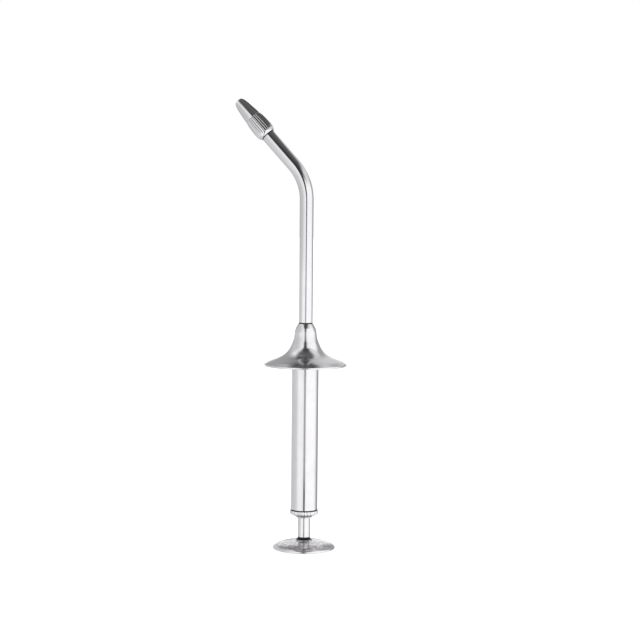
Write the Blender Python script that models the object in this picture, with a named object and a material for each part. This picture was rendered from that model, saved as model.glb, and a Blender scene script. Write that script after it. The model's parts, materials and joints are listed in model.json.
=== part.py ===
"""Curved dental syringe: a spring-returned thumb plunger in a steel barrel, a trumpet-shaped finger flange,
a bent neck, and a nozzle held on by a fluted nut.

The frame: metres, +Z up the barrel, the origin at the middle of the thumb plate's flat underside.
The neck bends in the XZ plane, towards -X. Lengths below are in millimetres and MM turns them into metres.
Every piece is its own object. Pieces on the bent end are built along +Z and placed by TIP_FRAME.
"""

import math

import bmesh
import bpy
from mathutils import Matrix, Vector

MM = 0.001

# --- Driving dimensions, in millimetres ----------------------------------------------------------------

FIT_GAP = 0.05  # between two fixed pieces that touch
SLIDE_GAP = 0.06  # radial, where a piece slides
THREAD_GAP = 0.1  # radial, where a screw thread is drawn as a plain cylinder

PLATE_R = 11.25
PLATE_EDGE = 0.7  # height of the rim's rounding
PLATE_TOP = 3.4  # height of the raised top at the rod
STUD_R = 1.45
STUD_BOTTOM = 0.8

ROD_R = 2.25
ROD_TOP = 40.0
SOCKET_BOTTOM = 32.0  # of the rod's tapped hole for the push rod

NOSE_R = 2.9
NOSE_BOTTOM = 11.2
STROKE = NOSE_BOTTOM - PLATE_TOP - 0.1  # the plate stops just short of the cap's nose

CAP_R = 5.2
CAP_BAND_BOTTOM = 12.75
CAP_TOP = 13.9
CAP_PLUG_TOP = 18.9
CAP_BORE_R = 3.1
CAP_FLUTES = 26
CAP_FLUTE_DEPTH = 0.2

BARREL_R = 4.85
BARREL_BORE_R = 4.1
BARREL_TOP = 72.4

COLLAR_BOTTOM = 19.6
COLLAR_TOP = 23.2
WASHER_THICKNESS = 0.6
PIN_R = 0.5

SPRING_WIRE_R = 0.35
SPRING_MEAN_R = 3.2
SPRING_TURNS = 13
SPRING_CLOSED_TURNS = 1  # at each end

FLANGE_R = 14.9
FLANGE_BOTTOM = 66.6
FLANGE_TOP = 81.9

NECK_R = 2.5
NECK_BORE_R = 1.9
NECK_BOTTOM = 70.5
BEND_START = 126.3
BEND_R = 18.5
BEND_DEG = 43.0

PUSH_ROD_R = 0.9
COIL_R = 1.0
COIL_BORE_R = 0.5
COIL_BOTTOM = 115.4
FERRULE_R = 1.3
LOWER_FERRULE_TOP = BEND_START - STROKE - 0.1  # it stays in the straight length at full stroke

# From here, distances along the bent end run from the corner where the neck's two centrelines cross.
COIL_END = 9.0
UPPER_FERRULE_BOTTOM = 7.9
UPPER_FERRULE_TOP = 11.3
NECK_END = 23.0
FITTING_BOTTOM = 21.0
FITTING_TOP = 27.4
FITTING_R = 2.45
FITTING_BORE_R = 1.4
NUT_BOTTOM = 21.9
NUT_TOP = 30.15
NUT_R = 3.55
NUT_FRONT_R = 3.02
NUT_BORE_R = 2.6
NUT_LIP_BOTTOM = 28.6
NUT_FLUTES = 24
NUT_FLUTE_DEPTH = 0.22
MOUTH = 38.65
MOUTH_R = 1.3
NOZZLE_BORE_R = 0.9
SPIGOT_R = 2.0
PISTON_FRONT = MOUTH - 0.2 - STROKE
PISTON_LENGTH = 2.6
PISTON_ROD_R = 0.6
PISTON_STUD_R = 0.35

SMOOTH_ANGLE = math.radians(35)

# --- Derived places --------------------------------------------------------------------------------------

BEND = math.radians(BEND_DEG)
CORNER = BEND_START + BEND_R * math.tan(BEND / 2)
TIP_AXIS = Vector((-math.sin(BEND), 0, math.cos(BEND)))
TIP_FRAME = Matrix.Translation((0, 0, CORNER * MM)) @ Matrix.Rotation(-BEND, 4, "Y")
PIN_HEIGHT = (COLLAR_BOTTOM + COLLAR_TOP) / 2
WASHER_TOP = COLLAR_TOP + FIT_GAP + WASHER_THICKNESS
SEAT_BOTTOM = NECK_BOTTOM - 0.9


# --- Tools -----------------------------------------------------------------------------------------------


def clear_scene():
    for obj in list(bpy.data.objects):
        bpy.data.objects.remove(obj)


def material(name, colour, roughness, metallic):
    made = bpy.data.materials.new(name)
    made.use_nodes = True
    shader = made.node_tree.nodes["Principled BSDF"]
    shader.inputs["Base Color"].default_value = (*colour, 1)
    shader.inputs["Roughness"].default_value = roughness
    shader.inputs["Metallic"].default_value = metallic
    return made


def finish(name, bm, surface, frame=None):
    """Links the bmesh as one named object, with its faces pointing out and its round faces smooth."""
    bmesh.ops.recalc_face_normals(bm, faces=bm.faces)
    mesh = bpy.data.meshes.new(name)
    bm.to_mesh(mesh)
    bm.free()
    mesh.shade_smooth()
    mesh.set_sharp_from_angle(angle=SMOOTH_ANGLE)
    mesh.materials.append(surface)
    obj = bpy.data.objects.new(name, mesh)
    bpy.context.scene.collection.objects.link(obj)
    if frame is not None:
        obj.matrix_world = frame
    return obj


def arc(centre, radii, start_deg, end_deg, steps):
    """Points (r, z) along an elliptical arc, 0 degrees being +r and 90 degrees +z."""
    angles = (math.radians(start_deg + (end_deg - start_deg) * i / steps) for i in range(steps + 1))
    return [(centre[0] + radii[0] * math.cos(a), centre[1] + radii[1] * math.sin(a)) for a in angles]


def turned_mesh(outline, segments):
    """A bmesh spun round Z from an outline of (r, z) points. An outline that starts and ends on the axis
    makes a solid piece. Any other outline is closed into a ring round a bore."""
    bm = bmesh.new()
    verts = [bm.verts.new((r * MM, 0, z * MM)) for r, z in outline]
    edges = [bm.edges.new(pair) for pair in zip(verts, verts[1:])]
    if outline[0][0] > 0:
        edges.append(bm.edges.new((verts[-1], verts[0])))
    bmesh.ops.spin(
        bm, geom=verts + edges, cent=(0, 0, 0), axis=(0, 0, 1), angle=math.tau, steps=segments,
        use_merge=True,
    )
    bmesh.ops.remove_doubles(bm, verts=bm.verts, dist=1e-7)
    return bm


def turned(name, outline, surface, segments=32, frame=None):
    return finish(name, turned_mesh(outline, segments), surface, frame)


def fluted(name, outline, surface, flutes, depth, first, last, frame=None):
    """A turned piece with V-shaped flutes in its outer wall, from outline point first to last."""
    bm = turned_mesh(outline, 2 * flutes)
    wall = {(round(r, 3), round(z, 3)) for r, z in outline[first : last + 1]}
    for vert in bm.verts:
        radius = math.hypot(vert.co.x, vert.co.y) / MM
        step = round(math.atan2(vert.co.y, vert.co.x) / math.tau * 2 * flutes)
        if step % 2 and (round(radius, 3), round(vert.co.z / MM, 3)) in wall:
            vert.co.xy *= (radius - depth) / radius
    return finish(name, bm, surface, frame)


def ring(inner_r, outer_r, low, high, chamfer=0.0):
    """The outline of a plain ring, with its two outer corners chamfered if a chamfer is given."""
    if not chamfer:
        return [(inner_r, low), (outer_r, low), (outer_r, high), (inner_r, high)]
    return [
        (inner_r, low),
        (outer_r - chamfer, low),
        (outer_r, low + chamfer),
        (outer_r, high - chamfer),
        (outer_r - chamfer, high),
        (inner_r, high),
    ]


def pin(radius, low, high):
    """The outline of a solid pin with chamfered ends."""
    return ring(0, radius, low, high, 0.1)


def neck_line(bottom, past_corner, bend_steps):
    """Stations (place, direction) along the neck's centreline: straight, round the bend and straight."""
    stations = [(Vector((0, 0, bottom)), Vector((0, 0, 1)))]
    for i in range(bend_steps + 1):
        turn = BEND * i / bend_steps
        place = Vector((BEND_R * (math.cos(turn) - 1), 0, BEND_START + BEND_R * math.sin(turn)))
        stations.append((place, Vector((-math.sin(turn), 0, math.cos(turn)))))
    stations.append((Vector((0, 0, CORNER)) + TIP_AXIS * past_corner, TIP_AXIS))
    return stations


def swept_tube(name, stations, outer_r, bore_r, surface, sides):
    """A round tube with a round bore, swept through the stations."""
    bm = bmesh.new()
    side = Vector((0, 1, 0))
    walls = []
    for radius in (outer_r, bore_r):
        rings = []
        for place, direction in stations:
            across = direction.cross(side)
            turns = [math.tau * k / sides for k in range(sides)]
            spokes = [across * math.cos(turn) + side * math.sin(turn) for turn in turns]
            rings.append([bm.verts.new((place + spoke * radius) * MM) for spoke in spokes])
        walls.append(rings)
    outer, bore = walls
    joined = [pair for rings in walls for pair in zip(rings, rings[1:])]
    for one, other in [*joined, (outer[0], bore[0]), (outer[-1], bore[-1])]:
        for k in range(sides):
            bm.faces.new((one[k - 1], one[k], other[k], other[k - 1]))
    return finish(name, bm, surface)


def cross_drill(obj, height, radius):
    """Drills a hole right through the object along X."""
    bm = bmesh.new()
    bmesh.ops.create_cone(
        bm, cap_ends=True, segments=16, radius1=radius * MM, radius2=radius * MM, depth=12 * MM,
        matrix=Matrix.Translation((0, 0, height * MM)) @ Matrix.Rotation(math.pi / 2, 4, "Y"),
    )
    cutter = finish(f"{obj.name}_drill", bm, obj.data.materials[0])
    cutter.hide_render = True
    cutter.display_type = "WIRE"
    cut = obj.modifiers.new("pin_hole", "BOOLEAN")
    cut.operation = "DIFFERENCE"
    cut.solver = "EXACT"
    cut.object = cutter


# --- The plunger, which slides in the barrel -----------------------------------------------------------


def make_thumb_plate(steel):
    """A shallow cone with a flat underside and a rounded rim, tapped for the rod's stud."""
    half = PLATE_EDGE / 2
    hole_r = STUD_R + FIT_GAP
    rim = arc((PLATE_R - half, half), (half, half), -90, 0, 4)
    slope = [
        (11.1, 0.65),
        (10.8, 0.92),
        (10.3, 1.2),
        (9.6, 1.5),
        (8.6, 1.8),
        (7.4, 2.1),
        (6.0, 2.42),
        (4.6, 2.72),
        (3.6, 2.97),
        (2.9, 3.2),
        (2.45, PLATE_TOP),
    ]
    outline = [(0, 0), *rim, *slope, (hole_r, PLATE_TOP), (hole_r, STUD_BOTTOM), (0, STUD_BOTTOM)]
    turned("thumb_plate", outline, steel, 48)


def make_plunger_rod(steel):
    """The sliding stem, with a stud for the plate below and a tapped hole for the push rod above."""
    shoulder = PLATE_TOP + FIT_GAP
    outline = [
        (0, STUD_BOTTOM + FIT_GAP),
        (STUD_R, STUD_BOTTOM + FIT_GAP),
        (STUD_R, shoulder),
        (ROD_R, shoulder),
        (ROD_R, ROD_TOP - 0.4),
        (ROD_R - 0.4, ROD_TOP),
        (PUSH_ROD_R + THREAD_GAP, ROD_TOP),
        (PUSH_ROD_R + THREAD_GAP, SOCKET_BOTTOM),
        (0, SOCKET_BOTTOM),
    ]
    rod = turned("plunger_rod", outline, steel)
    cross_drill(rod, PIN_HEIGHT, PIN_R + FIT_GAP)


def make_stop_collar(brass):
    """The collar that keeps the rod in the barrel, guides its inner end and carries the spring."""
    outline = ring(ROD_R + FIT_GAP, BARREL_BORE_R - SLIDE_GAP, COLLAR_BOTTOM, COLLAR_TOP, 0.3)
    collar = turned("stop_collar", outline, brass)
    cross_drill(collar, PIN_HEIGHT, PIN_R + FIT_GAP)


def make_collar_pin(steel):
    half = BARREL_BORE_R - 0.35
    frame = Matrix.Translation((0, 0, PIN_HEIGHT * MM)) @ Matrix.Rotation(math.pi / 2, 4, "Y")
    turned("collar_pin", pin(PIN_R, -half, half), steel, 16, frame)


def make_spring_washer(steel):
    outline = ring(ROD_R + 0.15, BARREL_BORE_R - 0.15, COLLAR_TOP + FIT_GAP, WASHER_TOP)
    turned("spring_washer", outline, steel)


def make_push_rod(steel):
    """The stiff wire from the rod's tapped hole up the straight length of the neck."""
    turned("push_rod", pin(PUSH_ROD_R, SOCKET_BOTTOM + 0.2, COIL_BOTTOM - 1.0), steel, 16)


def make_lock_nut(steel):
    """A small hexagon nut on the push rod, tight against the rod's top."""
    flat_r = 1.8
    bm = turned_mesh(ring(PUSH_ROD_R + FIT_GAP, flat_r, ROD_TOP + FIT_GAP, ROD_TOP + 1.6), 24)
    for vert in bm.verts:
        if math.hypot(vert.co.x, vert.co.y) > 1.5 * MM:
            past_corner = math.atan2(vert.co.y, vert.co.x) % math.radians(60)
            vert.co.xy /= math.cos(past_corner - math.radians(30))
    finish("lock_nut", bm, steel)


def make_lower_ferrule(brass):
    """Joins the push rod, in its lower socket, to the coil, in its upper socket."""
    wire_top, coil_seat = COIL_BOTTOM - 1.0 + FIT_GAP, COIL_BOTTOM - FIT_GAP
    low, high = COIL_BOTTOM - 3.6, LOWER_FERRULE_TOP
    outline = [
        (0, wire_top),
        (PUSH_ROD_R + FIT_GAP, wire_top),
        (PUSH_ROD_R + FIT_GAP, low),
        (FERRULE_R - 0.2, low),
        (FERRULE_R, low + 0.3),
        (FERRULE_R, high - 0.3),
        (FERRULE_R - 0.2, high),
        (COIL_R + FIT_GAP, high),
        (COIL_R + FIT_GAP, coil_seat),
        (0, coil_seat),
    ]
    turned("lower_ferrule", outline, brass, 16)


# --- The flexible drive round the bend, and the piston ---------------------------------------------------


def make_drive_coil(steel):
    """The close-wound coil that takes the push round the bend, as the sleeve its touching turns form."""
    swept_tube("drive_coil", neck_line(COIL_BOTTOM, COIL_END, 10), COIL_R, COIL_BORE_R, steel, 12)


def make_upper_ferrule(brass):
    """Joins the coil, in its lower socket, to the piston rod, in its upper socket."""
    coil_seat, rod_seat = COIL_END + FIT_GAP, COIL_END + 0.8
    outline = [
        (0, coil_seat),
        (COIL_R + FIT_GAP, coil_seat),
        (COIL_R + FIT_GAP, UPPER_FERRULE_BOTTOM),
        (FERRULE_R - 0.2, UPPER_FERRULE_BOTTOM),
        (FERRULE_R, UPPER_FERRULE_BOTTOM + 0.3),
        (FERRULE_R, UPPER_FERRULE_TOP - 0.3),
        (FERRULE_R - 0.3, UPPER_FERRULE_TOP),
        (PISTON_ROD_R + FIT_GAP, UPPER_FERRULE_TOP),
        (PISTON_ROD_R + FIT_GAP, rod_seat),
        (0, rod_seat),
    ]
    turned("upper_ferrule", outline, brass, 16, TIP_FRAME)


def make_piston_rod(steel):
    """The short stiff rod beyond the bend, with a stud for the piston."""
    low, shoulder = COIL_END + 0.8 + FIT_GAP, PISTON_FRONT - PISTON_LENGTH - FIT_GAP
    stud_top = PISTON_FRONT - 0.9
    outline = [
        (0, low),
        (PISTON_ROD_R, low),
        (PISTON_ROD_R, shoulder),
        (PISTON_STUD_R, shoulder),
        (PISTON_STUD_R, stud_top),
        (0, stud_top),
    ]
    turned("piston_rod", outline, steel, 16, TIP_FRAME)


def make_piston(ptfe):
    """The plastic piston that pushes the filling out of the nozzle."""
    radius, rear = NOZZLE_BORE_R - SLIDE_GAP, PISTON_FRONT - PISTON_LENGTH
    socket_top = PISTON_FRONT - 0.9 + FIT_GAP
    outline = [
        (0, socket_top),
        (PISTON_STUD_R + FIT_GAP, socket_top),
        (PISTON_STUD_R + FIT_GAP, rear),
        (radius - 0.1, rear),
        (radius, rear + 0.1),
        (radius, PISTON_FRONT - 0.1),
        (radius - 0.1, PISTON_FRONT),
        (0, PISTON_FRONT),
    ]
    turned("piston", outline, ptfe, 24, TIP_FRAME)


# --- The handle: cap, barrel and flange --------------------------------------------------------------------


def make_end_cap(steel):
    """The screw cap, with a fluted band outside, a nose round the rod and a threaded plug inside."""
    plug_r = BARREL_BORE_R - THREAD_GAP
    outline = [
        (ROD_R + 0.15, NOSE_BOTTOM),
        (NOSE_R - 0.2, NOSE_BOTTOM),
        (NOSE_R, NOSE_BOTTOM + 0.2),
        (NOSE_R + 0.1, NOSE_BOTTOM + 0.45),
        (4.1, 12.0),
        (CAP_R - 0.3, CAP_BAND_BOTTOM - 0.2),
        (CAP_R, CAP_BAND_BOTTOM + 0.1),
        (CAP_R, CAP_TOP - 0.3),
        (CAP_R - 0.3, CAP_TOP),
        (plug_r, CAP_TOP),
        (plug_r, CAP_PLUG_TOP),
        (CAP_BORE_R, CAP_PLUG_TOP),
        (CAP_BORE_R, CAP_BAND_BOTTOM),
        (ROD_R + 0.15, CAP_BAND_BOTTOM),
    ]
    fluted("end_cap", outline, steel, CAP_FLUTES, CAP_FLUTE_DEPTH, 4, 8)


def make_cap_bush(ptfe):
    """The flanged bush in the cap that the rod slides in and the stop collar rests on."""
    shank_r, top = CAP_BORE_R - FIT_GAP, COLLAR_BOTTOM - FIT_GAP
    outline = [
        (ROD_R + SLIDE_GAP, CAP_BAND_BOTTOM + FIT_GAP),
        (shank_r, CAP_BAND_BOTTOM + FIT_GAP),
        (shank_r, CAP_PLUG_TOP + FIT_GAP),
        (BARREL_BORE_R - 0.3, CAP_PLUG_TOP + FIT_GAP),
        (BARREL_BORE_R - 0.3, top),
        (ROD_R + SLIDE_GAP, top),
    ]
    turned("cap_bush", outline, ptfe)


def make_barrel(steel):
    """The plain tube that holds the spring."""
    outline = ring(BARREL_BORE_R, BARREL_R, CAP_TOP + 0.1, BARREL_TOP, 0.15)
    turned("barrel", outline, steel, 48)


def make_finger_flange(steel):
    """The trumpet that two fingers pull on, with a socket for the barrel below and the neck above."""
    socket_r, neck_hole_r, shoulder = BARREL_R + THREAD_GAP, NECK_R + FIT_GAP, BARREL_TOP + FIT_GAP
    rim_r = 0.45
    outline = [
        (socket_r, FLANGE_BOTTOM),
        *arc((FLANGE_R - rim_r, FLANGE_BOTTOM + rim_r), (rim_r, rim_r), -90, 66, 5),
        (13.8, 67.9),
        (12.9, 68.4),
        (11.2, 69.1),
        (9.3, 69.85),
        (8.05, 70.55),
        (7.1, 71.3),
        (6.4, 72.05),
        (5.85, 72.8),
        (5.42, 73.55),
        (4.95, 74.65),
        (4.5, 75.75),
        (4.22, 76.8),
        (4.05, 77.9),
        (3.92, 79.1),
        (3.74, 79.8),
        (3.53, 80.4),
        (3.02, 81.35),
        (2.72, 81.85),
        (neck_hole_r, FLANGE_TOP),
        (neck_hole_r, shoulder),
        (socket_r, shoulder),
    ]
    turned("finger_flange", outline, steel, 48)


def make_return_spring(steel):
    """The compression spring between the collar's washer and the neck's seat, closed at both ends."""
    low, high = WASHER_TOP + SPRING_WIRE_R + FIT_GAP, SEAT_BOTTOM - SPRING_WIRE_R - FIT_GAP
    closed_pitch = 2.15 * SPRING_WIRE_R
    closed_height = 2 * SPRING_CLOSED_TURNS * closed_pitch
    open_pitch = (high - low - closed_height) / (SPRING_TURNS - 2 * SPRING_CLOSED_TURNS)
    per_turn = 12
    curve = bpy.data.curves.new("return_spring", "CURVE")
    curve.dimensions = "3D"
    curve.bevel_depth = SPRING_WIRE_R * MM
    curve.bevel_resolution = 1
    curve.use_fill_caps = True
    spline = curve.splines.new("POLY")
    spline.points.add(per_turn * SPRING_TURNS)
    height = low
    for i, point in enumerate(spline.points):
        turn = i / per_turn
        angle = math.tau * turn
        x, y = SPRING_MEAN_R * math.cos(angle), SPRING_MEAN_R * math.sin(angle)
        point.co = (x * MM, y * MM, height * MM, 1)
        is_open = SPRING_CLOSED_TURNS <= turn < SPRING_TURNS - SPRING_CLOSED_TURNS
        height += (open_pitch if is_open else closed_pitch) / per_turn
    curve.materials.append(steel)
    bpy.context.scene.collection.objects.link(bpy.data.objects.new("return_spring", curve))


# --- The neck and its fittings -----------------------------------------------------------------------------


def make_neck_tube(steel):
    swept_tube("neck_tube", neck_line(NECK_BOTTOM, NECK_END, 12), NECK_R, NECK_BORE_R, steel, 24)


def make_neck_collar(steel):
    """The ring brazed on the neck's lower end, which bears on the flange's inner shoulder."""
    outline = ring(NECK_R + FIT_GAP, BARREL_BORE_R - 0.1, NECK_BOTTOM, BARREL_TOP, 0.15)
    turned("neck_collar", outline, steel)


def make_spring_seat(steel):
    """The washer under the neck that the spring's upper end bears on."""
    outline = ring(PUSH_ROD_R + 0.3, BARREL_BORE_R - 0.1, SEAT_BOTTOM, NECK_BOTTOM - FIT_GAP)
    turned("spring_seat", outline, steel)


def make_tip_fitting(steel):
    """The end brazed into the neck's mouth, threaded outside for the nut."""
    outline = [
        (FITTING_BORE_R, FITTING_BOTTOM),
        (NECK_BORE_R - FIT_GAP, FITTING_BOTTOM),
        (NECK_BORE_R - FIT_GAP, NECK_END + FIT_GAP),
        (FITTING_R, NECK_END + FIT_GAP),
        (FITTING_R, FITTING_TOP - 0.2),
        (FITTING_R - 0.2, FITTING_TOP),
        (FITTING_BORE_R, FITTING_TOP),
    ]
    turned("tip_fitting", outline, steel, 24, TIP_FRAME)


def make_nozzle_nut(steel):
    """The fluted nut that pulls the nozzle's ring onto the fitting, with a lip inside its front end."""
    outline = [
        (NUT_BORE_R, NUT_BOTTOM),
        (NUT_BORE_R + 0.15, NUT_BOTTOM),
        (3.05, 22.25),
        (3.3, 22.75),
        (3.46, 23.3),
        (NUT_R - 0.02, 23.85),
        (NUT_R, 24.3),
        (NUT_R - 0.05, 26.4),
        (NUT_R - 0.15, 28.0),
        (NUT_R - 0.31, 29.3),
        (NUT_FRONT_R, NUT_TOP),
        (SPIGOT_R + THREAD_GAP, NUT_TOP),
        (SPIGOT_R + THREAD_GAP, NUT_LIP_BOTTOM),
        (NUT_BORE_R, NUT_LIP_BOTTOM),
    ]
    fluted("nozzle_nut", outline, steel, NUT_FLUTES, NUT_FLUTE_DEPTH, 6, 9, TIP_FRAME)


def make_nozzle(steel):
    """The blunt cone, with a spigot behind it that the nut and the ring sit on."""
    rear, face = FITTING_TOP + FIT_GAP, NUT_TOP + FIT_GAP
    outline = [
        (NOZZLE_BORE_R, rear),
        (SPIGOT_R, rear),
        (SPIGOT_R, face),
        (2.9, face),
        (2.98, face + 0.1),
        (2.92, 31.15),
        (2.73, 32.85),
        (2.54, 34.35),
        (2.38, 35.35),
        *arc((MOUTH_R - 0.25, 35.55), (1.32, MOUTH - 35.6), 8, 76, 6),
        (MOUTH_R, MOUTH),
        (NOZZLE_BORE_R, MOUTH),
    ]
    turned("nozzle", outline, steel, 32, TIP_FRAME)


def make_nozzle_ring(steel):
    """The ring pressed on the spigot's end, which keeps the nut on the nozzle."""
    outline = ring(SPIGOT_R + FIT_GAP, FITTING_R, FITTING_TOP + FIT_GAP, NUT_LIP_BOTTOM - FIT_GAP)
    turned("nozzle_ring", outline, steel, 24, TIP_FRAME)


def main():
    clear_scene()
    chrome = material("polished_steel", (0.78, 0.78, 0.8), 0.08, 1.0)
    satin = material("satin_steel", (0.6, 0.6, 0.62), 0.3, 1.0)
    brass = material("brass", (0.72, 0.55, 0.28), 0.3, 1.0)
    ptfe = material("ptfe", (0.9, 0.9, 0.88), 0.5, 0.0)

    make_thumb_plate(chrome)
    make_plunger_rod(chrome)
    make_stop_collar(brass)
    make_collar_pin(satin)
    make_spring_washer(satin)
    make_push_rod(satin)
    make_lock_nut(satin)
    make_lower_ferrule(brass)

    make_drive_coil(satin)
    make_upper_ferrule(brass)
    make_piston_rod(satin)
    make_piston(ptfe)

    make_end_cap(chrome)
    make_cap_bush(ptfe)
    make_barrel(chrome)
    make_finger_flange(chrome)
    make_return_spring(satin)

    make_neck_tube(chrome)
    make_neck_collar(satin)
    make_spring_seat(satin)
    make_tip_fitting(satin)
    make_nozzle_nut(chrome)
    make_nozzle(chrome)
    make_nozzle_ring(satin)


main()
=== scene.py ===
"""The looks of the curved dental syringe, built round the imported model: polished steel outside, and a real
spring, drive coil and fittings inside.

Everything is in metres in the model's own frame. Lengths below are in millimetres and MM turns them into
metres. Pieces on the bent end are built along +Z and placed by TIP_FRAME.
"""

import json
import math

import bmesh
import bpy
from mathutils import Matrix, Vector


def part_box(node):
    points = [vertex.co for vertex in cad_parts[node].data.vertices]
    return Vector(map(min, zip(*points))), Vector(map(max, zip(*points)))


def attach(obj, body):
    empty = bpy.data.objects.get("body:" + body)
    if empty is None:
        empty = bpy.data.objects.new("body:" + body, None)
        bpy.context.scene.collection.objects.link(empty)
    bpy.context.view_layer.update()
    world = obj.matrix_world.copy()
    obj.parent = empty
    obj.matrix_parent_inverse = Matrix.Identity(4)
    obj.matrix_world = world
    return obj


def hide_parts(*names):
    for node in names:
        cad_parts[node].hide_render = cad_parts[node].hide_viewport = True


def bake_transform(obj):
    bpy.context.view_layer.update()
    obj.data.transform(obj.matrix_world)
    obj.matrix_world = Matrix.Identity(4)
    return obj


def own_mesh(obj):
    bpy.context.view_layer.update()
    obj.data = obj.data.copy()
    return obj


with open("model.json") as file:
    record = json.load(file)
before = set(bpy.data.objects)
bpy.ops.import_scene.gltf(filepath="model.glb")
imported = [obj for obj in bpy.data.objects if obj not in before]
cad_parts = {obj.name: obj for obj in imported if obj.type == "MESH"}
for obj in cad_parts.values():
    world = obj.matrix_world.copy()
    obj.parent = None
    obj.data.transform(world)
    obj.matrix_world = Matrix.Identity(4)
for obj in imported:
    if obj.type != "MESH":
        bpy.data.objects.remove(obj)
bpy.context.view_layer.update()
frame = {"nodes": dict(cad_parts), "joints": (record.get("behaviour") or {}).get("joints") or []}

MM = 0.001
UP = Vector((0, 0, 1))
SIDE = Vector((0, 1, 0))  # square to the plane that the neck bends in

# --- Places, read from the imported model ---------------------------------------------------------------

JOINTS = {joint["name"]: joint for joint in frame["joints"]}
TIP_AXIS = Vector(JOINTS["nozzle_slide"]["axis"]).normalized()
CORNER = Vector(JOINTS["nozzle_nut_turn"]["pos_m"])
BEND = TIP_AXIS.angle(UP)
TIP_FRAME = Matrix.Translation(CORNER) @ UP.rotation_difference(TIP_AXIS).to_matrix().to_4x4()

BEND_R = 18.5  # the radius of the neck's centreline in its bend
BEND_START = CORNER.z / MM - BEND_R * math.tan(BEND / 2)


def span(node, place=None):
    """(lowest, highest, widest radius) in mm of a CAD node, measured along the Z axis of its own place."""
    inverse = (place or Matrix.Identity(4)).inverted()
    points = [inverse @ vert.co for vert in frame["nodes"][node].data.vertices]
    heights = [point.z / MM for point in points]
    return min(heights), max(heights), max(math.hypot(point.x, point.y) for point in points) / MM


# --- Mesh tools ---------------------------------------------------------------------------------------

SHARP = math.radians(50)  # faces that meet at more than this keep a hard edge
FILLET_STEPS = 5
FILLET_REACH = 0.48  # the most of a side that one fillet may take


def finish(name, verts, faces, surface, body, nodes, place=None):
    """Makes the object in its place, gives it its surface, attaches it to the body that it rides on, and
    hides the CAD nodes that it stands for. A piece without a body is attached to none."""
    mesh = bpy.data.meshes.new(name)
    mesh.from_pydata(verts, [], faces)
    mesh.validate()
    mesh.transform(place or Matrix.Identity(4))
    mesh.shade_smooth()
    mesh.set_sharp_from_angle(angle=SHARP)
    mesh.materials.append(surface)
    obj = bpy.data.objects.new(name, mesh)
    bpy.context.scene.collection.objects.link(obj)
    if body:
        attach(obj, body)
    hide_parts(*nodes)
    return obj


def rounded(outline):
    """An outline of (r, z) or (r, z, fillet radius) corners, with an arc in place of each filleted corner."""
    points = []
    for i, corner in enumerate(outline):
        here = Vector(corner[:2])
        fillet = corner[2] if len(corner) > 2 else 0
        if not fillet or i in (0, len(outline) - 1):
            points.append(here)
            continue
        back = Vector(outline[i - 1][:2]) - here
        ahead = Vector(outline[i + 1][:2]) - here
        half = back.angle(ahead) / 2
        reach = min(fillet / math.tan(half), FILLET_REACH * back.length, FILLET_REACH * ahead.length)
        back.normalize()
        ahead.normalize()
        centre = here + (back + ahead).normalized() * reach / math.cos(half)
        spoke = here + back * reach - centre
        sweep = (math.pi - 2 * half) * (1 if back.cross(ahead) < 0 else -1)
        for k in range(FILLET_STEPS + 1):
            points.append(centre + Matrix.Rotation(sweep * k / FILLET_STEPS, 2) @ spoke)
    return points


def smooth_line(points, steps):
    """A Catmull-Rom curve through the (r, z) points."""
    knots = [Vector(point) for point in points]
    knots = [2 * knots[0] - knots[1], *knots, 2 * knots[-1] - knots[-2]]
    line = []
    for a, b, c, d in zip(knots, knots[1:], knots[2:], knots[3:]):
        for k in range(steps):
            t = k / steps
            line.append(0.5 * (2 * b + (c - a) * t + (2 * a - 5 * b + 4 * c - d) * t**2
                               + (3 * b - a - 3 * c + d) * t**3))
    line.append(knots[-2])
    return [tuple(point) for point in line]


def spun(outline, segments, relief=None):
    """Vertices and faces of an outline spun round Z. An outline that starts and ends on the axis is solid,
    and any other closes into a ring. relief(radius, height, angle) may change the radius."""
    solid = outline[0][0] == 0
    verts, rings = [], []
    for r, z in outline:
        if r == 0:
            rings.append([len(verts)] * segments)
            verts.append((0, 0, z * MM))
            continue
        rings.append(range(len(verts), len(verts) + segments))
        for k in range(segments):
            angle = math.tau * k / segments
            radius = relief(r, z, angle) if relief else r
            verts.append((radius * math.cos(angle) * MM, radius * math.sin(angle) * MM, z * MM))
    faces = []
    for low, high in zip(rings, rings[1:] if solid else [*rings[1:], rings[0]]):
        for k in range(segments):
            face = (low[k - 1], low[k], high[k], high[k - 1])
            faces.append(tuple(dict.fromkeys(face)))
    return verts, faces


def turned(name, outline, surface, body, nodes, place=None, segments=144, relief=None):
    """Makes a polished piece by spinning an outline round the Z axis of its place."""
    verts, faces = spun([tuple(point) for point in outline], segments, relief)
    finish(name, verts, faces, surface, body, nodes, place)


def flutes(count, depth, width, low, high, runout, inner_r):
    """A relief of narrow round-bottomed grooves between two heights, which fade out over runout. It leaves
    everything inside inner_r as it is."""

    def relief(r, z, angle):
        if r <= inner_r or not low - runout < z < high + runout:
            return r
        fade = min(1, (z - low + runout) / runout, (high + runout - z) / runout)
        across = abs((angle / math.tau * count) % 1 - 0.5)
        groove = math.exp(-((across / width) ** 2))
        return r - depth * groove * fade

    return relief


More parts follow.
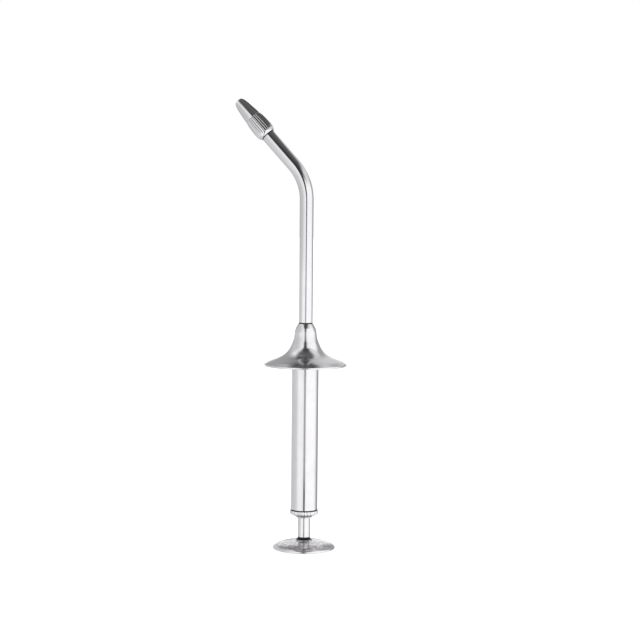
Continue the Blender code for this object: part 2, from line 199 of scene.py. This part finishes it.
def swept(line, radii, sides):
    """Vertices and faces of nested round walls swept along (place, direction, across) stations in mm, closed
    into a tube, or into a wire with flat ends if there is one wall."""
    verts, walls = [], []
    for radius in radii:
        rings = []
        for place, direction, across in line:
            side = direction.cross(across)
            rings.append(range(len(verts), len(verts) + sides))
            for k in range(sides):
                turn = math.tau * k / sides
                verts.append((place + (across * math.cos(turn) + side * math.sin(turn)) * radius) * MM)
        walls.append(rings)
    pairs = [pair for rings in walls for pair in zip(rings, rings[1:])]
    faces = []
    if len(walls) == 2:
        pairs += [(walls[1][0], walls[0][0]), (walls[0][-1], walls[1][-1])]
        inner = len(walls[0]) - 1
    else:
        inner = len(pairs)
        faces += [tuple(reversed(walls[0][0])), tuple(walls[0][-1])]
    for index, (low, high) in enumerate(pairs):
        for k in range(sides):
            face = (low[k - 1], low[k], high[k], high[k - 1])
            flip = len(walls) == 2 and inner <= index < 2 * inner
            faces.append(face[::-1] if flip else face)
    return verts, faces


def neck_point(distance):
    """The place and direction on the neck's centreline at an arc length in mm up from z = 0."""
    arc_length = BEND_R * BEND
    if distance <= BEND_START:
        return Vector((0, 0, distance)), UP.copy()
    turn = min(distance - BEND_START, arc_length) / BEND_R
    place = Vector((BEND_R * (math.cos(turn) - 1), 0, BEND_START + BEND_R * math.sin(turn)))
    direction = Vector((-math.sin(turn), 0, math.cos(turn)))
    return place + direction * max(0, distance - BEND_START - arc_length), direction


def past_corner(distance):
    """The arc length up the neck of a point on the bent end, given its distance from the corner in mm."""
    return BEND_START + BEND_R * BEND + distance - BEND_R * math.tan(BEND / 2)


# --- Shader tools -------------------------------------------------------------------------------------


def add_node(tree, kind, inputs=None, **settings):
    """A new node with its settings and inputs. An input is a value, or a socket to link from."""
    node = tree.nodes.new(kind)
    for key, value in settings.items():
        setattr(node, key, value)
    for key, value in (inputs or {}).items():
        if isinstance(value, bpy.types.NodeSocket):
            tree.links.new(value, node.inputs[key])
        else:
            node.inputs[key].default_value = value
    return node


def maths(tree, operation, *values):
    return add_node(tree, "ShaderNodeMath", dict(enumerate(values)), operation=operation).outputs[0]


def noise(tree, scales, detail, turn=0.0):
    """Noise in object space, turned round Y, with one scale per axis in features per metre."""
    place = add_node(tree, "ShaderNodeTexCoord").outputs["Object"]
    place = add_node(tree, "ShaderNodeMapping", {"Vector": place, "Rotation": (0, turn, 0)}).outputs[0]
    mapped = add_node(tree, "ShaderNodeMapping", {"Vector": place, "Scale": scales})
    texture = add_node(
        tree, "ShaderNodeTexNoise",
        {"Vector": mapped.outputs[0], "Scale": 1.0, "Detail": detail, "Roughness": 0.6},
    )
    return texture.outputs[0]


def spread(tree, value, low, high, start=0.3, end=0.7, ease="LINEAR"):
    """Low where value is at start and high where it is at end. Noise stays mostly within 0.3 and 0.7."""
    node = add_node(
        tree, "ShaderNodeMapRange",
        {"Value": value, "From Min": start, "From Max": end, "To Min": low, "To Max": high},
        interpolation_type=ease,
    )
    return node.outputs[0]


def step(tree, value, start, end):
    """0 before start, 1 after end, smooth between."""
    return spread(tree, value, 0.0, 1.0, start, end, "SMOOTHSTEP")


def blended(tree, share, first, second):
    """The number a share of the way from first to second."""
    return add_node(tree, "ShaderNodeMix", {0: share, 2: first, 3: second}, data_type="FLOAT").outputs[0]


def mixed(tree, share, first, second):
    """The colour a share of the way from first to second."""
    return add_node(
        tree, "ShaderNodeMix", {0: share, 6: as_input(first), 7: as_input(second)}, data_type="RGBA",
    ).outputs[2]


def as_input(colour):
    """A socket as it is, or a red, green and blue triple with the alpha that a socket needs."""
    return colour if isinstance(colour, bpy.types.NodeSocket) else (*colour, 1)


def new_surface(name):
    """A new material, its node tree and its shader."""
    made = bpy.data.materials.new(name)
    made.use_nodes = True
    return made, made.node_tree, made.node_tree.nodes["Principled BSDF"]


def add_bumps(tree, shader, layers):
    """Chains (height, strength, depth in mm) bumps into the shader's normal."""
    normal = None
    for height, strength, depth in layers:
        inputs = {"Height": height, "Strength": strength, "Distance": depth * MM}
        if normal:
            inputs["Normal"] = normal
        normal = add_node(tree, "ShaderNodeBump", inputs).outputs[0]
    tree.links.new(normal, shader.inputs["Normal"])


# Polishing or turning marks: features per metre round, and along, the piece.
TURNED_MARKS = (40, 40, 9000)
DRAWN_MARKS = (7000, 7000, 60)


def polished_steel(name, marks, gloss=0.1, waviness=0.5, turn=0.0):
    """Mirror-polished stainless steel, with fine polishing marks, faint smears and a hand-buffed waviness."""
    made, tree, shader = new_surface(name)
    smears = noise(tree, (260, 260, 200), 4)
    lines = noise(tree, marks, 2, turn)
    waves = noise(tree, (420, 420, 420), 1)
    shader.inputs["Metallic"].default_value = 1.0
    colour = mixed(tree, spread(tree, smears, 0, 1), (0.64, 0.63, 0.645), (0.6, 0.59, 0.608))
    tree.links.new(colour, shader.inputs["Base Color"])
    smear_gloss = spread(tree, smears, gloss - 0.03, gloss + 0.06)
    line_gloss = spread(tree, lines, -0.02, 0.03)
    tree.links.new(maths(tree, "ADD", smear_gloss, line_gloss), shader.inputs["Roughness"])
    add_bumps(tree, shader, [(lines, 0.12, 0.002), (waves, waviness, 0.012)])
    return made


def distance_mm(tree, axis, start):
    """How far in mm each point lies beyond start, measured along an axis."""
    place = add_node(tree, "ShaderNodeTexCoord").outputs["Object"]
    share = add_node(tree, "ShaderNodeVectorMath", {0: place, 1: axis / MM}, operation="DOT_PRODUCT")
    return maths(tree, "SUBTRACT", share.outputs["Value"], float(start))


def within(tree, value, low, high, fade):
    """1 between low and high, fading to 0 outside."""
    rise = spread(tree, value, 0, 1, low - fade, low)
    fall = spread(tree, value, 1, 0, high, high + fade)
    return maths(tree, "MULTIPLY", rise, fall)


def add_painted_joint_shade(surface, masks):
    """Paints shade into a polished surface where it meets other parts: near-black colour and a duller finish.
    """
    tree = surface.node_tree
    shader = tree.nodes["Principled BSDF"]
    mask = masks[0] if len(masks) == 1 else maths(tree, "MAXIMUM", *masks)
    # painted shade: near-black colour laid into the joints, with a duller finish there
    for socket, mix, shaded_value in (("Base Color", mixed, (0.035, 0.033, 0.037)), ("Roughness", blended, 0.5)):
        unshaded = shader.inputs[socket].links[0].from_socket
        tree.links.new(mix(tree, mask, unshaded, shaded_value), shader.inputs[socket])


def worn_and_shaded_plate_steel(name):
    """The thumb plate's steel: scuffed and stained on its sloping top, still bright round its rim, with
    painted shade round the foot of the rod.
    """
    made = polished_steel(name, TURNED_MARKS, 0.15, 1.6)
    tree = made.node_tree
    base = tree.nodes["Principled BSDF"].inputs["Base Color"]
    rim_top, slope_foot, shade_ring_r = 0.95, 1.35, 2.65
    stains = spread(tree, noise(tree, (750, 750, 750), 5), 0, 1, 0.36, 0.62)
    on_top = spread(tree, distance_mm(tree, UP, 0), 0, 1, rim_top, slope_foot)
    stained = maths(tree, "MULTIPLY", stains, on_top)
    tree.links.new(mixed(tree, stained, base.links[0].from_socket, (0.31, 0.3, 0.32)), base)
    across = maths(tree, "POWER", distance_mm(tree, SIDE.cross(UP), 0), 2.0)
    along = maths(tree, "POWER", distance_mm(tree, SIDE, 0), 2.0)
    radius = maths(tree, "SQRT", maths(tree, "ADD", across, along))
    # painted shade in a ring round the foot of the rod
    add_painted_joint_shade(made, [within(tree, radius, 0, shade_ring_r, 0.35)])
    return made


def drawn_steel(name, *shade_bands):
    """The polished steel of a tube or rod, with rings of painted shade round it where it meets other parts. A
    band is (axis, start, low, high, fade), and runs from low to high mm beyond start along its axis."""
    made = polished_steel(name, DRAWN_MARKS)
    tree = made.node_tree
    add_painted_joint_shade(made, [within(tree, distance_mm(tree, axis, start), low, high, fade)
                       for axis, start, low, high, fade in shade_bands])
    return made


def satin_steel(name, marks):
    """Plain turned or drawn steel, with visible tool marks and a little staining."""
    made, tree, shader = new_surface(name)
    stains = noise(tree, (500, 500, 500), 5)
    lines = noise(tree, marks, 3)
    shader.inputs["Metallic"].default_value = 1.0
    colour = mixed(tree, spread(tree, stains, 0, 1), (0.66, 0.655, 0.665), (0.5, 0.49, 0.485))
    tree.links.new(colour, shader.inputs["Base Color"])
    tree.links.new(spread(tree, lines, 0.26, 0.44), shader.inputs["Roughness"])
    add_bumps(tree, shader, [(lines, 0.5, 0.01)])
    return made


def turned_brass(name):
    """Turned brass, a little darkened where it has tarnished."""
    made, tree, shader = new_surface(name)
    tarnish = noise(tree, (450, 450, 450), 5)
    lines = noise(tree, TURNED_MARKS, 3)
    shader.inputs["Metallic"].default_value = 1.0
    colour = mixed(tree, spread(tree, tarnish, 0, 1, 0.35, 0.75), (0.76, 0.57, 0.28), (0.5, 0.34, 0.16))
    tree.links.new(colour, shader.inputs["Base Color"])
    tree.links.new(spread(tree, tarnish, 0.24, 0.45), shader.inputs["Roughness"])
    add_bumps(tree, shader, [(lines, 0.5, 0.01)])
    return made


def white_ptfe(name):
    """Waxy white PTFE, with a cloudy colour and faint turning marks."""
    made, tree, shader = new_surface(name)
    clouds = noise(tree, (600, 600, 600), 4)
    lines = noise(tree, TURNED_MARKS, 2)
    colour = mixed(tree, spread(tree, clouds, 0, 1), (0.9, 0.9, 0.88), (0.82, 0.82, 0.8))
    tree.links.new(colour, shader.inputs["Base Color"])
    tree.links.new(spread(tree, clouds, 0.42, 0.6), shader.inputs["Roughness"])
    shader.inputs["Specular IOR Level"].default_value = 0.4
    add_bumps(tree, shader, [(lines, 0.3, 0.01), (clouds, 0.3, 0.02)])
    return made


TURNED_STEEL = polished_steel("polished_turned_steel", TURNED_MARKS)
TIP_STEEL = polished_steel("polished_tip_steel", TURNED_MARKS, turn=BEND)
FLARE_STEEL = polished_steel("polished_flare_steel", TURNED_MARKS, 0.17, 0.6)
PLATE_STEEL = worn_and_shaded_plate_steel("polished_plate_steel")
# Painted shade in rings: on the neck just above the flange and at the nut's rear end, on the barrel's foot at
# the cap, and on the rod's foot at the plate.
NECK_STEEL = drawn_steel(
    "polished_neck_steel",
    (UP, span("finger_flange")[1], -1, 0.36, 0.12),
    (TIP_AXIS, CORNER.dot(TIP_AXIS) / MM + span("nozzle_nut", TIP_FRAME)[0], -0.25, 0.3, 0.12),
)
BARREL_STEEL = drawn_steel("polished_barrel_steel", (UP, span("barrel")[0], -1, 0.25, 0.12))
ROD_STEEL = drawn_steel("polished_rod_steel", (UP, span("thumb_plate")[1], -1, 0.65, 0.15))
SATIN_TURNED = satin_steel("satin_turned_steel", TURNED_MARKS)
SATIN_DRAWN = satin_steel("satin_drawn_steel", (900, 900, 900))
BRASS = turned_brass("turned_brass")
PTFE = white_ptfe("white_ptfe")

# --- The plunger --------------------------------------------------------------------------------------


def make_thumb_plate():
    """A shallow cone with a flat underside and a round-edged rim, rising to the rod."""
    low, high, radius = span("thumb_plate")
    rim_r, stud_r, stud_low = 0.35, 1.5, 0.8
    rim = rounded([(0, low), (radius, low, rim_r), (radius, low + 0.5)])
    slope = smooth_line([
        (radius, low + 0.38), (11.1, 0.65), (10.8, 0.92), (10.3, 1.2), (9.6, 1.5), (8.6, 1.8), (7.4, 2.1),
        (6.0, 2.36), (4.6, 2.6), (3.7, 2.78), (3.0, 3.02), (2.6, 3.25), (2.4, high),
    ], 5)
    outline = [*rim[:-1], *slope, (stud_r, high), (stud_r, stud_low), (0, stud_low)]
    turned("thumb_plate_shell", outline, PLATE_STEEL, "plunger", ["thumb_plate"], segments=160)


def make_plunger_rod():
    """The stem, with a stud in the plate below and a socket for the push rod above."""
    low, high, radius = span("plunger_rod")
    shoulder = span("thumb_plate")[1] + 0.05
    stud_r, socket_r, socket_low = 1.45, 1.0, 32.0
    outline = rounded([
        (0, low), (stud_r, low, 0.1), (stud_r, shoulder), (radius, shoulder, 0.08), (radius, high, 0.4),
        (socket_r, high, 0.1), (socket_r, socket_low), (0, socket_low),
    ])
    turned("plunger_stem", outline, ROD_STEEL, "plunger", ["plunger_rod"], segments=96)


# --- The handle ---------------------------------------------------------------------------------------


def make_end_cap():
    """The screw cap: a nose for the rod, a cone, a fluted band and a plug inside the barrel."""
    low, high, radius = span("end_cap")
    bore_r, rod_r, band_low, band_high, plug_r = 3.1, 2.4, 12.75, 13.9, 4.0
    cone_r, cone_low = 4.1, 12.0
    count, band_depth = 26, 0.6
    outline = rounded([
        (rod_r, low, 0.1), (2.9, low, 0.15), (3.0, low + 0.45, 0.3), (cone_r, cone_low, 0.3),
        (radius - 0.3, band_low - 0.2, 0.25), (radius, band_low + 0.12, 0.15), (radius, band_low + 0.35),
        (radius, band_high - 0.35), (radius, band_high, 0.28), (plug_r, band_high), (plug_r, high, 0.15),
        (bore_r, high, 0.1), (bore_r, band_low), (rod_r, band_low),
    ])
    relief = flutes(count, 0.2, 0.2, band_low + 0.1, band_high - 0.1, 0.3, radius - band_depth)
    turned("screw_cap", outline, TURNED_STEEL, "handle", ["end_cap"], segments=count * 8, relief=relief)


def make_barrel():
    """A plain tube. Its outline starts halfway up the bore, so that all four of its edges are rounded."""
    low, high, radius = span("barrel")
    bore_r, middle = 4.1, (low + high) / 2
    outline = rounded([(bore_r, middle), (bore_r, low, 0.1), (radius, low, 0.12), (radius, high, 0.12),
                       (bore_r, high, 0.1), (bore_r, middle + 1)])
    turned("barrel_tube", outline, BARREL_STEEL, "handle", ["barrel"], segments=160)


def make_finger_flange():
    """The trumpet, one smooth sweep from its rim up to the shoulder round the neck."""
    low, high, radius = span("finger_flange")
    _, barrel_high, barrel_r = span("barrel")
    neck_r, socket_r, socket_high = 2.55, barrel_r + 0.1, barrel_high + 0.05
    slope = smooth_line([
        (radius - 0.35, low + 0.85), (13.8, 67.9), (12.9, 68.4), (11.2, 69.1), (9.3, 69.85), (8.05, 70.55),
        (7.1, 71.3), (6.4, 72.05), (5.85, 72.8), (5.42, 73.55), (4.95, 74.65), (4.5, 75.75), (4.22, 76.8),
        (4.05, 77.9), (3.92, 79.1), (3.74, 79.8), (3.53, 80.4), (3.02, 81.35), (2.72, high - 0.05),
    ], 4)
    rim = rounded([(socket_r, low, 0.1), (radius, low, 0.4), (radius, low + 0.68, 0.3), slope[0]])
    outline = [*rim, *slope[1:], (neck_r + 0.08, high), (neck_r, high - 0.08), (neck_r, socket_high),
               (socket_r, socket_high)]
    turned("trumpet_flange", outline, FLARE_STEEL, "handle", ["finger_flange"], segments=192)


def make_return_spring():
    """The compression spring, with a closed turn at each end."""
    low, high, outer = span("return_spring")
    wire, turns, closed, per_turn, sides = 0.35, 13, 1, 28, 12
    closed_pitch = 2.15 * wire
    open_pitch = (high - low - 2 * wire - 2 * closed * closed_pitch) / (turns - 2 * closed)
    coil_r = outer - wire
    line, height = [], low + wire
    for i in range(turns * per_turn + 1):
        turn = i / per_turn
        angle = math.tau * turn
        is_open = closed <= turn < turns - closed
        pitch = open_pitch if is_open else closed_pitch
        spoke = Vector((math.cos(angle), math.sin(angle), 0))
        direction = Vector((-math.sin(angle), math.cos(angle), pitch / (math.tau * coil_r))).normalized()
        line.append((spoke * coil_r + UP * height, direction, spoke))
        height += pitch / per_turn
    verts, faces = swept(line, [wire], sides)
    spring = finish("coil_spring", verts, faces, SATIN_DRAWN, "handle", ["return_spring"])
    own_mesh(spring)


def make_drive_coil():
    """The close-wound coil, which follows the neck round its bend."""
    low, _, _ = span("drive_coil")
    end_out = 9.0  # beyond the corner
    high = past_corner(end_out)
    wire, gap, outer, per_turn, sides = 0.24, 0.03, 1.0, 14, 8
    pitch = 2 * wire + gap
    count = int((high - low - 2 * wire) / pitch * per_turn)
    line = []
    for i in range(count + 1):
        distance = low + wire + i * pitch / per_turn
        place, along = neck_point(distance)
        across = along.cross(SIDE)
        angle = math.tau * i / per_turn
        spoke = across * math.cos(angle) + SIDE * math.sin(angle)
        tangent = SIDE * math.cos(angle) - across * math.sin(angle)
        line.append((place + spoke * (outer - wire), tangent, spoke))
    verts, faces = swept(line, [wire], sides)
    coil = finish("wound_drive_coil", verts, faces, SATIN_DRAWN, None, ["drive_coil"])
    end, _ = neck_point(BEND_START + BEND_R * BEND)
    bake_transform(coil)


# --- The neck, nut and nozzle -------------------------------------------------------------------------


def make_neck_tube():
    """The bent tube, with its stations close together in the bend."""
    low, _, _ = span("neck_tube")
    _, end, _ = span("neck_tube", TIP_FRAME)
    outer, bore, sides = 2.5, 1.9, 128
    straight_steps, bend_steps = 12, 48
    stops = [low, low + 0.1]
    stops += [low + (BEND_START - low) * k / straight_steps for k in range(1, straight_steps)]
    stops += [BEND_START + BEND_R * BEND * k / bend_steps for k in range(bend_steps + 1)]
    stops += [past_corner(BEND_R * math.tan(BEND / 2)) + k for k in range(1, 5)]
    stops += [past_corner(end)]
    line = []
    for stop in stops:
        place, along = neck_point(stop)
        line.append((place, along, along.cross(SIDE)))
    verts, faces = swept(line, [outer, bore], sides)
    finish("bent_neck", verts, faces, NECK_STEEL, "handle", ["neck_tube"])


def make_nozzle_nut():
    """The fluted nut, round-backed, with a lip inside its front end."""
    low, high, radius = span("nozzle_nut", TIP_FRAME)
    bore_r, lip_r, lip_low = 2.6, 2.1, 28.6
    count, inner_r = 26, 2.9
    outside = smooth_line([
        (2.74, low), (3.05, low + 0.35), (3.3, low + 0.85), (3.46, low + 1.4), (radius - 0.02, low + 1.95),
        (radius, low + 2.4), (radius - 0.02, low + 3.4), (radius - 0.05, low + 4.5), (3.4, 28.0),
        (3.24, 29.3), (3.12, high - 0.4), (2.98, high),
    ], 4)
    outline = [(bore_r, low + 0.12), (2.68, low), *outside, (lip_r, high), (lip_r, lip_low),
               (bore_r, lip_low)]
    relief = flutes(count, 0.11, 0.12, low + 1.3, high - 0.1, 0.5, inner_r)
    turned("fluted_nut", outline, TIP_STEEL, "nozzle_nut", ["nozzle_nut"], TIP_FRAME, count * 12, relief)


def make_nozzle():
    """The blunt cone, with its bore and the spigot that the nut turns on."""
    rear, mouth, _ = span("nozzle", TIP_FRAME)
    _, face, _ = span("nozzle_nut", TIP_FRAME)
    face += 0.05
    bore_r, spigot_r, mouth_r = 0.9, 2.0, 1.3
    cone = smooth_line([
        (2.95, face + 0.14), (2.92, 31.15), (2.73, 32.85), (2.54, 34.35), (2.4, 35.3), (2.3, 36.05),
        (2.16, 36.8), (1.98, 37.5), (1.74, 38.1), (1.48, 38.5), (mouth_r, mouth - 0.03),
    ], 4)
    outline = [
        *rounded([(bore_r, rear), (spigot_r, rear, 0.15), (spigot_r, face), (2.96, face, 0.1), cone[0]]),
        *cone[1:], (mouth_r - 0.08, mouth), (bore_r + 0.08, mouth), (bore_r, mouth - 0.08),
    ]
    turned("blunt_nozzle", outline, TIP_STEEL, "nozzle", ["nozzle"], TIP_FRAME)


def dress_inner_nodes():
    """Gives each CAD piece that stays in view its own finish."""
    looks = {
        BRASS: ["stop_collar", "lower_ferrule", "upper_ferrule"],
        PTFE: ["piston", "cap_bush"],
        SATIN_TURNED: ["collar_pin", "spring_washer", "push_rod", "lock_nut", "piston_rod", "neck_collar",
                       "spring_seat", "tip_fitting", "nozzle_ring"],
    }
    for surface, nodes in looks.items():
        for node in nodes:
            for holder in frame["nodes"][node].material_slots:
                holder.material = surface


# --- Studio -------------------------------------------------------------------------------------------

CAMERA_TURN = math.radians(18)  # round the object from -Y towards +X
CAMERA_DISTANCE = 597
CAMERA_HEIGHT = 128.8
AIM_RIGHT, AIM_HEIGHT = 5.15, 83.24
CAMERA_ROLL = math.radians(0.55)
LENS = 93.3  # in mm, for Blender's own sensor width of 36 mm
TO_CAMERA = Vector((math.sin(CAMERA_TURN), -math.cos(CAMERA_TURN), 0))
TO_RIGHT = Vector((math.cos(CAMERA_TURN), math.sin(CAMERA_TURN), 0))


def make_camera():
    """A long lens from a little above, aimed beside the tool and rolled slightly."""
    place = (TO_CAMERA * CAMERA_DISTANCE + UP * CAMERA_HEIGHT) * MM
    aim = (TO_RIGHT * AIM_RIGHT + UP * AIM_HEIGHT) * MM
    ahead = (aim - place).normalized()
    right = ahead.cross(UP).normalized()
    above = right.cross(ahead)
    rolled = right * math.cos(CAMERA_ROLL) + above * math.sin(CAMERA_ROLL)
    above = above * math.cos(CAMERA_ROLL) - right * math.sin(CAMERA_ROLL)
    data = bpy.data.cameras.new("camera")
    data.lens = LENS
    data.clip_start, data.clip_end = 0.01, 50
    camera = bpy.data.objects.new("camera", data)
    camera.matrix_world = Matrix.Translation(place) @ Matrix((rolled, above, -ahead)).transposed().to_4x4()
    bpy.context.scene.collection.objects.link(camera)
    bpy.context.scene.camera = camera


def make_floor():
    """A wide white table top. Polished pieces mirror the studio round it instead of its plain white."""
    half, clearance = 4.0, 0.00002  # metres
    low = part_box("thumb_plate")[0].z - clearance
    corners = [(-half, -half, low), (half, -half, low), (half, half, low), (-half, half, low)]
    mesh = bpy.data.meshes.new("floor")
    mesh.from_pydata(corners, [], [(0, 1, 2, 3)])
    floor = bpy.data.objects.new("floor", mesh)
    bpy.context.scene.collection.objects.link(floor)
    made, tree, shader = new_surface("floor_white")
    colour = mixed(tree, noise(tree, (9, 9, 9), 3), (1.0, 1.0, 1.0), (0.985, 0.985, 0.985))
    tree.links.new(colour, shader.inputs["Base Color"])
    shader.inputs["Roughness"].default_value = 0.9
    shader.inputs["Specular IOR Level"].default_value = 0.0
    mesh.materials.append(made)
    floor.visible_glossy = False


def brightness(level):
    """The light that a display level from 0 to 255 stands for."""
    share = level / 255
    return share / 12.92 if share <= 0.04045 else ((share + 0.055) / 1.055) ** 2.4


ROOM_LIGHT = 1.3  # on the object and the floor; the camera itself sees the room as plain white
STEEL_SHARE = 0.61  # the share of its light that polished steel gives back
MOST_LIGHT = 2.0  # the top of a light curve's scale
TENT_R, TENT_HEIGHT = 150, 75  # the light tent's radius, and the height of its middle

# The tent's light in rings from its floor up, and the elevations in degrees between which each ring takes
# over from the one below. A ring is (degrees to the right of the camera, display level that the steel shows).
TABLE_RING = [(-180, 190), (-110, 198), (-70, 192), (-40, 200), (-15, 222), (20, 232), (60, 238), (110, 225),
              (180, 190)]
WALL_RING = [(-180, 238), (-170, 230), (-158, 188), (-125, 190), (-100, 196), (-75, 204), (-58, 232),
             (-40, 240), (-16, 236), (14, 246), (30, 250), (80, 250), (96, 240), (108, 222), (118, 180),
             (135, 148), (158, 148), (170, 225), (180, 238)]
MIDDLE_RING = [(-180, 172), (-165, 146), (-150, 152), (-130, 174), (-110, 188), (-75, 190), (-58, 206),
               (-32, 226), (-16, 240), (14, 246), (80, 246), (98, 226), (112, 176), (130, 148), (150, 166),
               (163, 194), (180, 172)]
UPPER_RING = [(-180, 160), (-166, 120), (-150, 152), (-125, 204), (-110, 234), (-90, 224), (-60, 220),
              (-38, 232), (-22, 228), (-8, 120), (15, 90), (38, 150), (60, 208), (100, 210), (130, 204),
              (150, 192), (180, 160)]
TOP_LEVEL = 132
RINGS_ABOVE_TABLE = [(WALL_RING, -62, -50), (MIDDLE_RING, 4, 14), (UPPER_RING, 36, 52)]
TOP_ELEVATIONS = (57, 70)

# The dark gap over the top of the tent, by degrees up from the front: its half width as a share of the
# tent's radius, and the level that it shows.
GAP_WIDTHS = [(-180, 0.09), (-40, 0.1), (-32, 0.13), (-9, 0.135), (5, 0.135), (20, 0.145), (34, 0.17),
              (49, 0.24), (64, 0.35), (80, 0.42), (95, 0.37), (113, 0.26), (126, 0.15), (138, 0.05),
              (180, 0.03)]
GAP_LEVELS = [(-180, 190), (-60, 150), (-45, 86), (-37, 90), (-32, 158), (-9, 160), (0, 130), (12, 105),
              (19, 84), (26, 64), (40, 48), (55, 52), (75, 80), (95, 88), (118, 62), (135, 95), (150, 165),
              (180, 178)]
GAP_SHIFT = -0.02  # to the right, as a share of the tent's radius
GAP_EDGE = (0.7, 1.3)  # the shares of its half width between which it fades


def curve(tree, value, points, most):
    """A smooth curve through (value, result) points, with results from 0 to most."""
    first, last = points[0][0], points[-1][0]
    node = add_node(tree, "ShaderNodeFloatCurve")
    line = node.mapping.curves[0]
    node.mapping.use_clip = False
    while len(line.points) < len(points):
        line.points.new(0.5, 0.5)
    for point, (x, y) in zip(line.points, points):
        point.location = ((x - first) / (last - first), y / most)
        point.handle_type = "AUTO_CLAMPED"
    node.mapping.update()
    share = maths(tree, "MULTIPLY_ADD", value, 1 / (last - first), -first / (last - first))
    tree.links.new(share, node.inputs["Value"])
    return maths(tree, "MULTIPLY", node.outputs[0], float(most))


def light_for(level):
    """The light that shows in the steel as a display level."""
    return brightness(level) / STEEL_SHARE


def light_curve(tree, value, levels):
    return curve(tree, value, [(place, light_for(level)) for place, level in levels], MOST_LIGHT)


def tent_light(tree):
    """The tent's brightness by place: a white table, pale walls, and a dark gap for the camera that runs up
    the front and over the top."""
    place = add_node(tree, "ShaderNodeNewGeometry").outputs["Position"]

    def share_along(axis):
        out = add_node(
            tree, "ShaderNodeVectorMath",
            {0: place, 1: axis / (TENT_R * MM)}, operation="DOT_PRODUCT",
        ).outputs["Value"]
        return maths(tree, "SUBTRACT", out, TENT_HEIGHT / TENT_R * axis.z)

    degrees = math.degrees(1)
    right, front, up = share_along(TO_RIGHT), share_along(TO_CAMERA), share_along(UP)
    azimuth = maths(tree, "MULTIPLY", maths(tree, "ARCTAN2", right, front), degrees)
    elevation = maths(tree, "MULTIPLY", maths(tree, "ARCSINE", up), degrees)
    over = maths(tree, "MULTIPLY", maths(tree, "ARCTAN2", up, front), degrees)

    light = light_curve(tree, azimuth, TABLE_RING)
    for ring, start, end in RINGS_ABOVE_TABLE:
        light = blended(tree, step(tree, elevation, start, end), light, light_curve(tree, azimuth, ring))
    light = blended(tree, step(tree, elevation, *TOP_ELEVATIONS), light, light_for(TOP_LEVEL))
    off = maths(tree, "ABSOLUTE", maths(tree, "SUBTRACT", right, GAP_SHIFT))
    off = maths(tree, "DIVIDE", off, curve(tree, over, GAP_WIDTHS, 1.0))
    return blended(tree, step(tree, off, *GAP_EDGE), light_curve(tree, over, GAP_LEVELS), light)


def make_light_tent():
    """A round light tent that shows only in reflections."""
    bm = bmesh.new()
    bmesh.ops.create_icosphere(bm, subdivisions=5, radius=TENT_R * MM)
    mesh = bpy.data.meshes.new("light_tent")
    bm.to_mesh(mesh)
    bm.free()
    mesh.transform(Matrix.Translation((0, 0, TENT_HEIGHT * MM)))
    made = bpy.data.materials.new("tent_light")
    made.use_nodes = True
    tree = made.node_tree
    tree.nodes.remove(tree.nodes["Principled BSDF"])
    glow = add_node(tree, "ShaderNodeEmission")
    tree.links.new(tent_light(tree), glow.inputs["Color"])
    tree.links.new(glow.outputs[0], tree.nodes["Material Output"].inputs["Surface"])
    mesh.materials.append(made)
    tent = bpy.data.objects.new("light_tent", mesh)
    bpy.context.scene.collection.objects.link(tent)
    tent.visible_camera = tent.visible_diffuse = tent.visible_shadow = False


def make_room_light():
    """Even white light from all round."""
    world = bpy.data.worlds.new("studio")
    bpy.context.scene.world = world
    world.use_nodes = True
    tree = world.node_tree
    rays = add_node(tree, "ShaderNodeLightPath")
    light = blended(tree, rays.outputs["Is Camera Ray"], ROOM_LIGHT, 1.0)
    tree.links.new(light, tree.nodes["Background"].inputs["Color"])
    tree.nodes["Background"].inputs["Strength"].default_value = 1.0


def main():
    make_camera()
    make_thumb_plate()
    make_plunger_rod()
    make_end_cap()
    make_barrel()
    make_finger_flange()
    make_return_spring()
    make_drive_coil()
    make_neck_tube()
    make_nozzle_nut()
    make_nozzle()
    dress_inner_nodes()
    make_floor()
    make_light_tent()
    make_room_light()
    bpy.context.scene.view_settings.view_transform = "Standard"


main()
